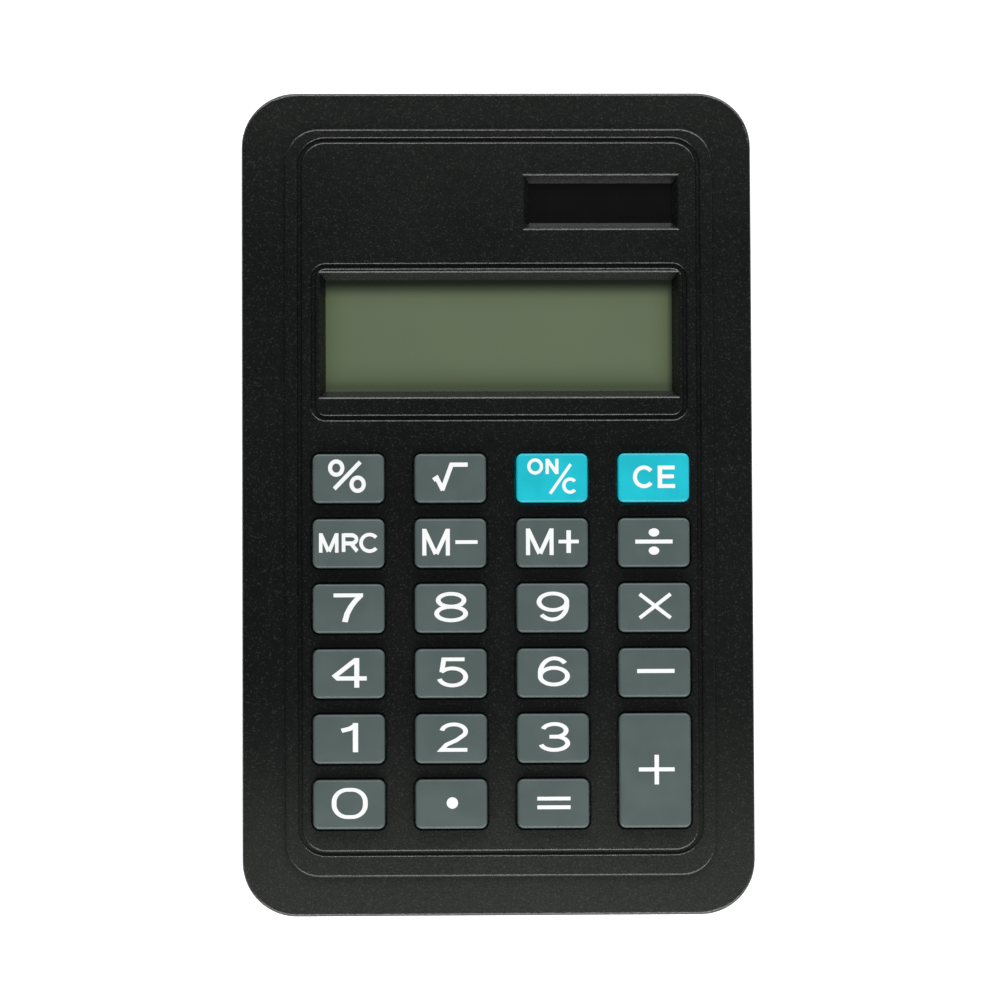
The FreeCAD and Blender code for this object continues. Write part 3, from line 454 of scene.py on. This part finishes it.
DIGIT_EDGES = {
    "0": (-2.45, 2.62, -2.00, 2.35), "1": (-1.15, 1.29, -1.83, 2.28),
    "2": (-2.03, 2.37, -1.83, 2.28), "3": (-2.01, 2.38, -1.90, 2.27),
    "4": (-2.42, 2.53, -1.94, 2.23), "5": (-1.95, 2.42, -1.95, 2.25),
    "6": (-2.12, 2.40, -1.88, 2.33), "7": (-2.13, 2.05, -1.94, 2.15),
    "8": (-2.31, 2.45, -1.97, 2.30), "9": (-2.25, 2.35, -1.90, 2.29),
}
MARKS = {
    "key_percent": [(RING, 0.58, (-2.86, -0.55, 0.24, 2.70)),
                    (RING, 0.58, (0.16, 2.47, -2.05, 0.40)),
                    (SLASH, 0.56, (-2.20, 1.90, -1.68, 2.52))],
    "key_sqrt": [(ROOT, 0.58, (-2.55, 2.48, -1.86, 2.20))],
    "key_on_clear": [(RING, 0.46, (-3.49, -1.25, 0.46, 2.75)),
                     (LETTER_N, 0.46, (-0.90, 0.93, 0.50, 2.72)),
                     (SLASH, 0.42, (-0.45, 2.83, -2.38, 2.03)),
                     (LETTER_C, 0.46, (1.45, 3.40, -2.28, 0.04))],
    "key_clear_entry": [(LETTER_C, 0.56, (-2.93, -0.16, -1.52, 1.70)),
                        (LETTER_E, 0.56, (0.58, 3.05, -1.50, 1.68))],
    "key_memory_recall": [(LETTER_M, 0.50, (-4.17, -1.41, -1.29, 1.46)),
                          (LETTER_R, 0.50, (-0.95, 1.42, -1.29, 1.46)),
                          (LETTER_C, 0.50, (1.52, 4.09, -1.34, 1.50))],
    "key_memory_minus": [(LETTER_M, 0.58, (-3.98, -0.08, -1.75, 2.03)),
                         (BAR, 0.50, (0.70, 3.84, -0.12, 0.40))],
    "key_memory_plus": [(LETTER_M, 0.58, (-3.72, 0.19, -1.74, 2.03)),
                        (BAR, 0.50, (0.89, 3.75, -0.09, 0.42)),
                        (STEM, 0.62, (2.00, 2.64, -1.45, 1.76))],
    "key_divide": [(BAR, 0.56, (-2.65, 2.64, -0.16, 0.40)),
                   (DOT, DOT_STROKE, (-0.75, 0.75, 0.83, 2.00)),
                   (DOT, DOT_STROKE, (-0.75, 0.75, -1.75, -0.58))],
    "key_multiply": [(CROSS, 0.50, (-2.24, 2.47, -1.68, 2.10))],
    "key_minus": [(BAR, 0.58, (-2.48, 2.80, -0.06, 0.51))],
    "key_plus": [(BAR, 0.56, (-2.32, 2.73, -0.13, 0.43)), (STEM, 0.62, (-0.10, 0.52, -1.97, 2.20))],
    "key_equals": [(BAR, 0.52, (-2.28, 2.41, 0.45, 0.97)), (BAR, 0.52, (-2.28, 2.41, -0.78, -0.24))],
    "key_point": [(DOT, DOT_STROKE, (-0.66, 0.95, -0.65, 0.97))],
}
for digit, strokes in DIGITS.items():
    MARKS["key_" + digit] = [(strokes, DIGIT_STROKE, DIGIT_EDGES[digit])]


def spread(values, low, high):
    """Where the values lie once stretched to run from low to high; all in the middle if they're equal."""
    reach = max(values) - min(values)
    gain = (high - low) / reach if reach else 0
    return [(low + high) / 2 + (value - (min(values) + max(values)) / 2) * gain for value in values]


def sized(strokes, width, edges, widening):
    """The strokes at the size that, once thickened and widened, fills the edges."""
    left, right, bottom, top = edges
    points = [point for stroke in strokes for point in stroke]
    half = max(0.0, (right - left) / widening - width) / 2
    xs = spread([x for x, y in points], -half, half)
    ys = spread([y for x, y in points], bottom + width / 2, top - width / 2)
    placed = list(zip(xs, ys))
    return [[placed.pop(0) for point in stroke] for stroke in strokes]


def draw_stroke(points, width):
    """A stroke's line pulled out point by point, raised into a wall and thickened to the stroke's width."""
    bpy.ops.object.select_all(action="DESELECT")
    bpy.ops.mesh.primitive_plane_add(size=MM, location=(0, 0, 0))
    piece = bpy.context.object
    bpy.ops.object.mode_set(mode="EDIT")
    bpy.ops.mesh.select_mode(type="VERT")
    bpy.ops.mesh.merge(type="CENTER")
    bpy.ops.transform.translate(value=(points[0][0] * MM, points[0][1] * MM, 0))
    for (x, y), (next_x, next_y) in zip(points, points[1:]):
        bpy.ops.mesh.extrude_region_move(
            TRANSFORM_OT_translate={"value": ((next_x - x) * MM, (next_y - y) * MM, 0)})
    bpy.ops.mesh.select_all(action="SELECT")
    bpy.ops.mesh.remove_doubles(threshold=MERGE_REACH)
    bpy.ops.mesh.extrude_region_move(TRANSFORM_OT_translate={"value": (0, 0, STROKE_DEPTH)})
    bpy.ops.object.mode_set(mode="OBJECT")
    wall = piece.modifiers.new("width", "SOLIDIFY")
    wall.thickness = width * MM
    wall.offset = 0
    wall.use_even_offset = True
    bpy.ops.object.modifier_apply(modifier="width")
    bpy.ops.object.mode_set(mode="EDIT")
    bpy.ops.mesh.select_all(action="SELECT")
    bpy.ops.mesh.remove_doubles(threshold=MERGE_REACH)
    bpy.ops.mesh.normals_make_consistent(inside=False)
    bpy.ops.object.mode_set(mode="OBJECT")
    return piece


def unite(pieces):
    """One closed solid from several that overlap."""
    whole = pieces[0]
    bpy.ops.object.select_all(action="DESELECT")
    whole.select_set(True)
    bpy.context.view_layer.objects.active = whole
    for other in pieces[1:]:
        join = whole.modifiers.new("join", "BOOLEAN")
        join.operation = "UNION"
        join.solver = "EXACT"
        join.object = other
        bpy.ops.object.modifier_apply(modifier="join")
        bpy.data.objects.remove(other)
    return whole


def fit(piece, edges, middle):
    """Stretches and moves a part of a mark so that it fills its place on the cap."""
    spots = [vertex.co for vertex in piece.data.vertices]
    low = [min(spot[axis] for spot in spots) for axis in range(2)]
    high = [max(spot[axis] for spot in spots) for axis in range(2)]
    left, right, bottom, top = (edge * MM for edge in edges)
    bpy.ops.object.select_all(action="DESELECT")
    piece.select_set(True)
    bpy.context.view_layer.objects.active = piece
    bpy.ops.object.mode_set(mode="EDIT")
    bpy.ops.mesh.select_all(action="SELECT")
    stretch_x = (right - left) / (high[0] - low[0])
    stretch_y = (top - bottom) / (high[1] - low[1])
    bpy.ops.transform.resize(value=(stretch_x, stretch_y, 1), center_override=(low[0], low[1], 0))
    bpy.ops.transform.translate(value=(middle.x + left - low[0], middle.y + bottom - low[1],
                                       middle.z - STROKE_DEPTH))
    bpy.ops.object.mode_set(mode="OBJECT")
    return piece


legend_white, feed, places = new_finish("legend_white", IOR=1.45)
mottle = places.noise(2600)
feed(Base_Color=mottle.blend((0.84, 0.86, 0.85, 1), (0.92, 0.93, 0.92, 1)),
     Roughness=0.42 + 0.12 * mottle, Normal=mottle.bump(0.004 * MM, 0.4))
for body, parts in MARKS.items():
    drawn = []
    widening = DIGIT_WIDENING if body[-1].isdigit() else 1.0
    for strokes, width, edges in parts:
        lines = strokes if strokes is DOT else sized(strokes, width, edges, widening)
        drawn.append(fit(unite([draw_stroke(line, width) for line in lines]), edges, key_middles[body]))
    mark = unite(drawn)
    mark.name = body.replace("key_", "legend_")
    mark.data.name = mark.name
    paint(legend_white, mark)
    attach(mark, body)

# ---------------------------------------------------------------------------------------- display
# The liquid crystal cell behind its window: a matt olive front film over two sheets of glass, a foil
# reflector, a foam pad and the striped rubber strip that joins it to the board.  The film's colour
# carries a painted shadow along the top and right of the window and a painted reflection in its middle.
FILM_OLIVE = (0.099, 0.128, 0.072)
FILM_RIM = (0.084, 0.112, 0.055)
FILM_SHADOW = (0.010, 0.019, 0.007)
FILM_BEYOND_WINDOW = 1.1 * MM

lcd_olive, feed, places = new_finish("lcd_olive", IOR=1.49)
film_low, film_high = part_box("lcd_front_polariser")
fine = places.noise(1400)
drift = places.noise(45)
below_top = (film_high.y - FILM_BEYOND_WINDOW) - places.part("Y")
film_middle = (film_low + film_high) / 2
beside = film_high.x - film_middle.x - FILM_BEYOND_WINDOW - abs(places.part("X") - film_middle.x)
above_end = places.part("Y") - (film_low.y + FILM_BEYOND_WINDOW)
# Painted reflection: the middle of the film is greyer and lighter than a 4 mm band along its sides and
# bottom, standing in for a soft haze reflected in the matt film.
haze_share = beside.math("MINIMUM", beside, above_end).band(0.0, 4 * MM)
hazed_olive = drift.band(0.3, 0.7).blend(tint(FILM_OLIVE, 0.97), tint(FILM_OLIVE, 1.05))
ground = haze_share.blend(tint(FILM_RIM), hazed_olive)
# Painted shadow: the film is darkened in a band along the top of the window and a narrow band along its
# right side, where the window's walls shade it.
right_shade = (film_high.x - FILM_BEYOND_WINDOW - places.part("X")).band(-0.1 * MM, 0.9 * MM)
lit = below_top.band(0.5 * MM, 3.1 * MM) * (0.25 + 0.75 * right_shade)
feed(Base_Color=lit.blend(tint(FILM_SHADOW), ground),
     Roughness=0.46 + 0.08 * fine, Normal=fine.bump(0.004 * MM, 0.4))
paint(lcd_olive, nodes["lcd_front_polariser"])

display_glass, feed, places = new_finish("display_glass", IOR=1.52, Transmission_Weight=0.9)
smear = places.noise(300)
feed(Base_Color=smear.blend((0.72, 0.80, 0.72, 1), (0.80, 0.86, 0.80, 1)), Roughness=0.04 + 0.05 * smear)
paint(display_glass, nodes["lcd_front_glass"], nodes["lcd_rear_glass"])

reflector_foil, feed, places = new_finish("reflector_foil", Metallic=0.9)
crinkle = places.noise(4200, 3.0)
feed(Base_Color=crinkle.blend((0.52, 0.54, 0.50, 1), (0.66, 0.68, 0.64, 1)),
     Roughness=0.30 + 0.15 * crinkle, Normal=crinkle.bump(0.004 * MM))
paint(reflector_foil, nodes["lcd_reflector"])

foam_grey, feed, places = new_finish("foam_grey", Roughness=0.95)
cells = places.node("ShaderNodeTexVoronoi", {}, {"Vector": places, "Scale": 2600})
feed(Base_Color=cells.band(0.0, 0.6).blend((0.05, 0.05, 0.05, 1), (0.16, 0.16, 0.16, 1)),
     Normal=cells.bump(0.06 * MM))
paint(foam_grey, nodes["lcd_foam_pad"])

zebra_rubber, feed, places = new_finish("zebra_rubber", Roughness=0.6)
stripes = places.math("SINE", places.part("X") * (2 * math.pi / (0.2 * MM)))
feed(Base_Color=stripes.band(-0.2, 0.2).blend((0.03, 0.03, 0.03, 1), (0.55, 0.42, 0.46, 1)),
     Normal=places.noise(2400).bump(0.01 * MM))
paint(zebra_rubber, nodes["zebra_strip"])

# ---------------------------------------------------------------------------------------- solar cell
# Amorphous silicon on glass, in five cells, held in its window by white tape: near black, with fine
# lines between the cells.  Two insulated leads run down to the board.
SOLAR_CELLS = 5

solar_black, feed, places = new_finish("solar_black", IOR=1.52)
solar_low, solar_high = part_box("solar_cell")
across = (places.part("X") - solar_low.x) / ((solar_high.x - solar_low.x) / SOLAR_CELLS)
line = across.math("PINGPONG", across, 0.5).band(0.0, 0.02)
sheen = places.noise(160)
silicon = sheen.blend((0.0016, 0.0014, 0.0018, 1), (0.0026, 0.0020, 0.0026, 1))
feed(Base_Color=line.blend((0.0032, 0.0030, 0.0032, 1), silicon), Roughness=0.16 + 0.10 * sheen)
paint(solar_black, nodes["solar_cell"])

tape_white, feed, places = new_finish("tape_white", Roughness=0.8)
fibre = places.noise(3000, 4.0)
feed(Base_Color=fibre.blend((0.70, 0.70, 0.67, 1), (0.84, 0.84, 0.82, 1)), Normal=fibre.bump(0.01 * MM))
paint(tape_white, nodes["solar_cell_tape"])


def mottled(name, dark, light, roughness, scale, depth, **constants):
    """A finish with fine mottling, for pieces that need no pattern of their own."""
    material, feed, places = new_finish(name, **constants)
    mottle = places.noise(scale, 3.0)
    feed(Base_Color=mottle.blend(tint(dark), tint(light)), Roughness=roughness + 0.12 * mottle,
         Normal=mottle.bump(depth * MM, 0.6))
    return material


paint(mottled("lead_red", (0.42, 0.02, 0.015), (0.55, 0.04, 0.03), 0.36, 3200, 0.004),
      nodes["solar_lead_red"])
paint(mottled("lead_black", (0.012, 0.012, 0.013), (0.025, 0.025, 0.026), 0.36, 3200, 0.004),
      nodes["solar_lead_black"])

# ---------------------------------------------------------------------------------------- board
# A glass fibre board with green solder mask over its tracks, printed carbon key contacts, four chip
# capacitors and the bare chip under a drop of resin.
board_green, feed, places = new_finish("board_green", IOR=1.5)
track = places.node("ShaderNodeTexBrick", {"offset": 0.37, "squash": 1.6},
                    {"Vector": places, "Scale": 260, "Mortar Size": 0.035, "Brick Width": 1.7,
                     "Row Height": 0.5, "Color1": (0, 0, 0, 1), "Color2": (0, 0, 0, 1),
                     "Mortar": (1, 1, 1, 1)}, output=1)
mask = places.noise(900)
solder_mask = mask.blend((0.010, 0.085, 0.030, 1), (0.016, 0.110, 0.040, 1))
feed(Base_Color=track.blend(solder_mask, (0.05, 0.22, 0.06, 1)),
     Roughness=0.32 + 0.12 * mask, Normal=(track + 0.2 * mask).bump(0.03 * MM, 0.6))
paint(board_green, nodes["circuit_board"])
paint(mottled("resin_black", (0.008, 0.008, 0.008), (0.016, 0.016, 0.017), 0.15, 700, 0.02),
      nodes["chip_blob"])
paint(mottled("capacitor_tan", (0.34, 0.22, 0.12), (0.46, 0.33, 0.20), 0.40, 2600, 0.01),
      nodes["chip_capacitors"])
paint(mottled("carbon_print", (0.010, 0.010, 0.010), (0.022, 0.022, 0.022), 0.50, 5200, 0.01),
      nodes["contact_pads"])
paint(mottled("carbon_rubber", (0.012, 0.012, 0.012), (0.024, 0.024, 0.024), 0.55, 3600, 0.01),
      nodes["contact_pills"])

# ---------------------------------------------------------------------------------------- rubber domes
# One sheet of moulded grey silicone laid on the board, with a hollow dome under each key that springs
# the key back.
DOME_BASE_RADIUS = 3.2 * MM
DOME_TOP_RADIUS = 2.2 * MM
DOME_FOOT_WALL = 0.9 * MM
DOME_ROOF_RADIUS = 1.7 * MM
DOME_CROWN = 0.9 * MM
DOME_EDGE = 0.15 * MM
SHEET_THICKNESS = 0.5 * MM
HOLE_RADIUS = 2.4 * MM
DOME_SIDES = 48
silicone_grey = mottled("silicone_grey", (0.46, 0.47, 0.46), (0.58, 0.59, 0.58), 0.45, 900, 0.01,
                        Subsurface_Weight=0.2, Subsurface_Radius=(0.002, 0.002, 0.002))
rubber_low, rubber_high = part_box("rubber_dome_sheet")
sheet_top = rubber_low.z + SHEET_THICKNESS
dome_height = rubber_high.z - sheet_top


def key_foot(body, z):
    """The point under a key's middle at that height."""
    return Vector((key_middles[body].x, key_middles[body].y, z))


sheet = start_block("dome_sheet", rubber_low, Vector((rubber_high.x, rubber_high.y, sheet_top)))
bpy.ops.object.mode_set(mode="OBJECT")
for body in key_bodies:
    bpy.ops.mesh.primitive_cylinder_add(vertices=DOME_SIDES, radius=HOLE_RADIUS, depth=4 * SHEET_THICKNESS,
                                        location=key_foot(body, sheet_top))
    hole = bpy.context.object
    cut = sheet.modifiers.new("hole", "BOOLEAN")
    cut.operation = "DIFFERENCE"
    cut.solver = "EXACT"
    cut.object = hole
    bpy.ops.object.select_all(action="DESELECT")
    sheet.select_set(True)
    bpy.context.view_layer.objects.active = sheet
    bpy.ops.object.modifier_apply(modifier="hole")
    bpy.data.objects.remove(hole)
bpy.ops.object.shade_smooth_by_angle(angle=math.radians(40))
paint(silicone_grey, sheet)
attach(sheet, "case")
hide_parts("rubber_dome_sheet")

first_foot = key_foot(key_bodies[0], sheet_top)
bpy.ops.object.select_all(action="DESELECT")
bpy.ops.mesh.primitive_cone_add(vertices=DOME_SIDES, radius1=DOME_BASE_RADIUS, radius2=DOME_TOP_RADIUS,
                                depth=dome_height, location=first_foot + Vector((0, 0, dome_height / 2)))
bpy.ops.object.transform_apply(location=True, rotation=True, scale=True)
first_dome = bpy.context.object
bpy.ops.object.mode_set(mode="EDIT")
choose(first_dome, "FACE", lambda middle, normal: normal.z > 0.9)
bpy.ops.mesh.bevel(offset=DOME_EDGE, segments=3)
choose(first_dome, "FACE", lambda middle, normal: normal.z < -0.9)
bpy.ops.mesh.inset(thickness=DOME_FOOT_WALL)
bpy.ops.mesh.extrude_region_move(TRANSFORM_OT_translate={"value": (0, 0, dome_height - DOME_CROWN)})
narrowing = DOME_ROOF_RADIUS / (DOME_BASE_RADIUS - DOME_FOOT_WALL)
bpy.ops.transform.resize(value=(narrowing, narrowing, 1), center_override=first_foot)
end_shaping(first_dome)
domes = {key_bodies[0]: first_dome}
for body in key_bodies[1:]:
    domes[body] = copy_piece(first_dome, "dome", key_middles[body] - key_middles[key_bodies[0]])
for joint in frame["joints"]:
    if joint["child"] in domes:
        dome = domes[joint["child"]]
        dome.name = joint["child"].replace("key_", "dome_")
        paint(silicone_grey, dome)
        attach(dome, "case")
        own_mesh(dome)

# ---------------------------------------------------------------------------------------- power
# A nickel plated button cell between two spring strips, behind a sliding door of the case's plastic
# with a raised arrow that shows which way it opens.
ARROW_LENGTH = 2.6 * MM
ARROW_WIDTH = 4.2 * MM
ARROW_HEIGHT = 0.2 * MM
ARROW_SUNK = 0.05 * MM
ARROW_EDGE = 0.06 * MM
ARROW_TIP_SHARE = 0.02
ARROW_FROM_DOOR_END = 5.0 * MM


def plated(name, dark, light, roughness):
    material, feed, places = new_finish(name, Metallic=1.0)
    tarnish = places.noise(420, 3.0)
    feed(Base_Color=tarnish.band(0.35, 0.7).blend(tint(light), tint(dark)),
         Roughness=roughness + 0.14 * tarnish, Normal=places.noise(6000, 3.0).bump(0.004 * MM, 0.4))
    return material


paint(plated("cell_steel", (0.50, 0.49, 0.46), (0.70, 0.69, 0.66), 0.24), nodes["button_cell"])
paint(plated("contact_nickel", (0.48, 0.46, 0.40), (0.68, 0.66, 0.60), 0.22),
      nodes["battery_contact_plus"], nodes["battery_contact_minus"])
door_black = black_plastic("door_black", 0.4)
paint(door_black, nodes["battery_door"])
door_low, door_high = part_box("battery_door")
door_middle = (door_low.x + door_high.x) / 2
arrow_near = door_low.y + ARROW_FROM_DOOR_END
arrow_tip = Vector((door_middle, arrow_near + ARROW_LENGTH, door_low.z))
arrow = start_block(
    "door_arrow", Vector((door_middle - ARROW_WIDTH / 2, arrow_near, door_low.z - ARROW_HEIGHT)),
    Vector((door_middle + ARROW_WIDTH / 2, arrow_tip.y, door_low.z + ARROW_SUNK)))
choose(arrow, "FACE", lambda middle, normal: normal.y > 0.9)
bpy.ops.transform.resize(value=(ARROW_TIP_SHARE, 1, 1), center_override=arrow_tip)
choose(arrow, "FACE", lambda middle, normal: normal.z < -0.9)
bpy.ops.mesh.bevel(offset=ARROW_EDGE, segments=3)
end_shaping(arrow)
paint(door_black, arrow)
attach(arrow, "battery_door")

# ---------------------------------------------------------------------------------------- fasteners, feet
# Zinc plated cross-head screws, four for the case and six for the board, and four pressed rubber
# discs glued into shallow recesses of the back, a little dusty.
paint(plated("screw_steel", (0.34, 0.34, 0.36), (0.56, 0.56, 0.58), 0.28),
      nodes["case_screws"], nodes["board_screws"])
foot_rubber, feed, places = new_finish("foot_rubber")
pebble = places.noise(2200, 3.0)
dust = places.noise(420, 4.0).band(0.5, 0.75)
feed(Base_Color=dust.blend((0.018, 0.018, 0.018, 1), (0.045, 0.044, 0.042, 1)),
     Roughness=0.72 + 0.15 * pebble, Normal=pebble.bump(0.02 * MM, 0.7))
paint(foot_rubber, nodes["rubber_feet"])
